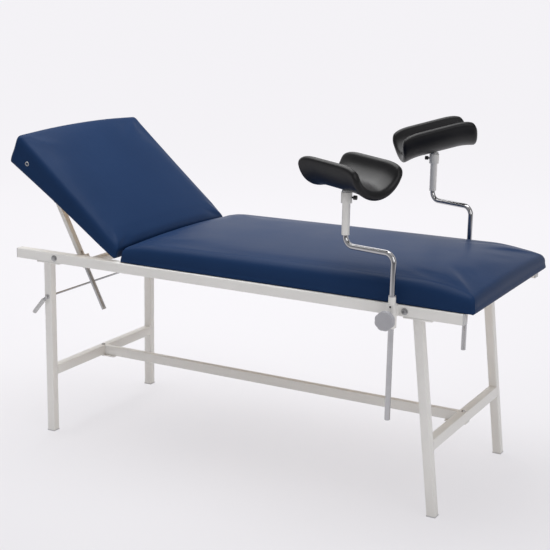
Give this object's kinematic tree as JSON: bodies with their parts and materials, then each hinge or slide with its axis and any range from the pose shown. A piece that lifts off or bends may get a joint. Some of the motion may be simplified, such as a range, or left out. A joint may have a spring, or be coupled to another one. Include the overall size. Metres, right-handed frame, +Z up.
{
  "type": "examination couch",
  "caption": "Padded examination couch on a tubular steel frame, with a tilting back, height-adjustable cranked leg holders and a rod across the head legs.",
  "frame": {"origin": "on the floor, in the middle of the right head leg's foot cap", "axes": "+X from the head end to the foot end, +Z up, +Y towards the patient's left, so the roll rod's grip is at -Y"},
  "size_m": [1.7454, 1.1044, 1.1545],
  "materials": {
    "white_enamel": "satin off-white enamel",
    "navy_cover": "navy leatherette with a soft sheen",
    "plywood": "raw plywood",
    "zinc_steel": "zinc-plated steel",
    "chrome": "polished chrome plate",
    "grey_plastic": "mid-grey matte plastic",
    "black_plastic": "black matte plastic",
    "black_foam": "black moulded polyurethane skin, matte"
  },
  "bodies": {
    "frame": {"rail_end_plugs": "grey_plastic", "back_cross_tube": "white_enamel", "seat_cross_tubes": "white_enamel", "foot_caps": "grey_plastic", "head_crossbar": "white_enamel", "foot_crossbar": "white_enamel", "stretcher": "white_enamel", "stretcher_bolts": "zinc_steel", "leg_brackets": "white_enamel", "leg_bolts": "zinc_steel", "seat_board": "plywood", "seat_pad": "navy_cover", "seat_screws": "zinc_steel", "seat_hinge_leaves": "zinc_steel", "hinge_pins": "zinc_steel", "socket_set_screws": "black_plastic", "right_side_rail": "white_enamel", "right_head_leg": "white_enamel", "right_foot_leg": "white_enamel", "right_socket": "white_enamel", "left_side_rail": "white_enamel", "left_head_leg": "white_enamel", "left_foot_leg": "white_enamel", "left_socket": "white_enamel"},
    "back": {"back_hinge_leaves": "zinc_steel", "back_screws": "zinc_steel", "back_board": "plywood", "back_pad": "navy_cover", "vent_eyelets": "zinc_steel", "strut_clevises": "zinc_steel", "strut_pins": "zinc_steel"},
    "roll_bushes": {"roll_bushes": "grey_plastic"},
    "roll_rod": {"roll_rod": "chrome", "roll_grip": "grey_plastic"},
    "right_strut": {"right_strut_channel": "white_enamel", "right_strut_bar": "zinc_steel", "right_strut_rivets": "zinc_steel"},
    "right_guide": {"right_strut_guide": "white_enamel"},
    "right_liner": {"right_socket_bush": "grey_plastic"},
    "right_rod": {"right_cranked_rod": "chrome", "right_post": "white_enamel"},
    "right_knob": {"right_socket_knob": "grey_plastic", "right_socket_spindle": "zinc_steel"},
    "right_collar_screw": {"right_collar_screw": "black_plastic"},
    "right_carrier": {"right_shell_carrier": "zinc_steel"},
    "right_shell": {"right_shell": "black_foam", "right_shell_bracket": "zinc_steel"},
    "left_strut": {"left_strut_channel": "white_enamel", "left_strut_bar": "zinc_steel", "left_strut_rivets": "zinc_steel"},
    "left_guide": {"left_strut_guide": "white_enamel"},
    "left_liner": {"left_socket_bush": "grey_plastic"},
    "left_rod": {"left_cranked_rod": "chrome", "left_post": "white_enamel"},
    "left_knob": {"left_socket_knob": "grey_plastic", "left_socket_spindle": "zinc_steel"},
    "left_collar_screw": {"left_collar_screw": "black_plastic"},
    "left_carrier": {"left_shell_carrier": "zinc_steel"},
    "left_shell": {"left_shell": "black_foam", "left_shell_bracket": "zinc_steel"}
  },
  "joints": [
    {"name": "back_tilt", "type": "hinge", "parent": "frame", "child": "back", "pos_m": [0.327, 0.318, 0.699], "axis": [0, 1, 0], "range_deg": [-33.8, 5]},
    {"name": "roll_rod_turn", "type": "hinge", "parent": "frame", "child": "roll_bushes", "pos_m": [0, 0.318, 0.512], "axis": [0, 1, 0], "continuous": true},
    {"name": "roll_rod_slide", "type": "slide", "parent": "roll_bushes", "child": "roll_rod", "axis": [0, -1, 0], "range_m": [0, 0.6]},
    {"name": "right_strut_swing", "type": "hinge", "parent": "back", "child": "right_strut", "pos_m": [0.03473, 0.011, 0.86477], "axis": [0, 1, 0], "range_deg": [-20.1, 3.4]},
    {"name": "right_guide_swing", "type": "hinge", "parent": "frame", "child": "right_guide", "pos_m": [0.14088, 0.011, 0.66], "axis": [0, 1, 0], "range_deg": [-53.9, 8.4]},
    {"name": "right_rod_swing", "type": "hinge", "parent": "frame", "child": "right_liner", "pos_m": [1.361, -0.0705, 0.714], "axis": [0, 0, 1], "range_deg": [-20, 120]},
    {"name": "right_rod_height", "type": "slide", "parent": "right_liner", "child": "right_rod", "axis": [0, 0, 1], "range_m": [-0.065, 0.25]},
    {"name": "right_knob_turn", "type": "hinge", "parent": "frame", "child": "right_knob", "pos_m": [1.361, -0.1105, 0.649], "axis": [0, -1, 0], "range_deg": [-180, 180]},
    {"name": "right_collar_screw_turn", "type": "hinge", "parent": "right_rod", "child": "right_collar_screw", "pos_m": [1.1986, -0.03254, 0.998], "axis": [0.9848, 0.1736, 0], "range_deg": [-180, 180]},
    {"name": "right_shell_swivel", "type": "hinge", "parent": "right_rod", "child": "right_carrier", "pos_m": [1.18136, -0.03558, 1.014], "axis": [0, 0, 1], "range_deg": [-90, 90]},
    {"name": "right_shell_tilt", "type": "hinge", "parent": "right_carrier", "child": "right_shell", "pos_m": [1.18136, -0.03558, 1.033], "axis": [-0.4067, -0.9135, 0], "range_deg": [-17.5, 22.5]},
    {"name": "left_strut_swing", "type": "hinge", "parent": "back", "child": "left_strut", "pos_m": [0.03473, 0.625, 0.86477], "axis": [0, 1, 0], "range_deg": [-20.1, 3.4]},
    {"name": "left_guide_swing", "type": "hinge", "parent": "frame", "child": "left_guide", "pos_m": [0.14088, 0.625, 0.66], "axis": [0, 1, 0], "range_deg": [-53.9, 8.4]},
    {"name": "left_rod_swing", "type": "hinge", "parent": "frame", "child": "left_liner", "pos_m": [1.323, 0.7065, 0.714], "axis": [0, 0, -1], "range_deg": [-35, 110]},
    {"name": "left_rod_height", "type": "slide", "parent": "left_liner", "child": "left_rod", "axis": [0, 0, 1], "range_m": [-0.065, 0.25]},
    {"name": "left_knob_turn", "type": "hinge", "parent": "frame", "child": "left_knob", "pos_m": [1.323, 0.7465, 0.649], "axis": [0, 1, 0], "range_deg": [-180, 180]},
    {"name": "left_collar_screw_turn", "type": "hinge", "parent": "left_rod", "child": "left_collar_screw", "pos_m": [1.1338, 0.76605, 1.018], "axis": [-0.9848, -0.1736, 0], "range_deg": [-180, 180]},
    {"name": "left_shell_swivel", "type": "hinge", "parent": "left_rod", "child": "left_carrier", "pos_m": [1.15104, 0.76909, 1.034], "axis": [0, 0, 1], "range_deg": [-90, 90]},
    {"name": "left_shell_tilt", "type": "hinge", "parent": "left_carrier", "child": "left_shell", "pos_m": [1.15104, 0.76909, 1.053], "axis": [0.5736, -0.8192, 0], "range_deg": [-34.5, 5.5]}
  ],
  "couplings": [
    {"joint": "right_strut_swing", "follows": "back_tilt", "ratio": 0.58},
    {"joint": "right_guide_swing", "follows": "back_tilt", "ratio": 1.58},
    {"joint": "left_strut_swing", "follows": "back_tilt", "ratio": 0.58},
    {"joint": "left_guide_swing", "follows": "back_tilt", "ratio": 1.58}
  ]
}
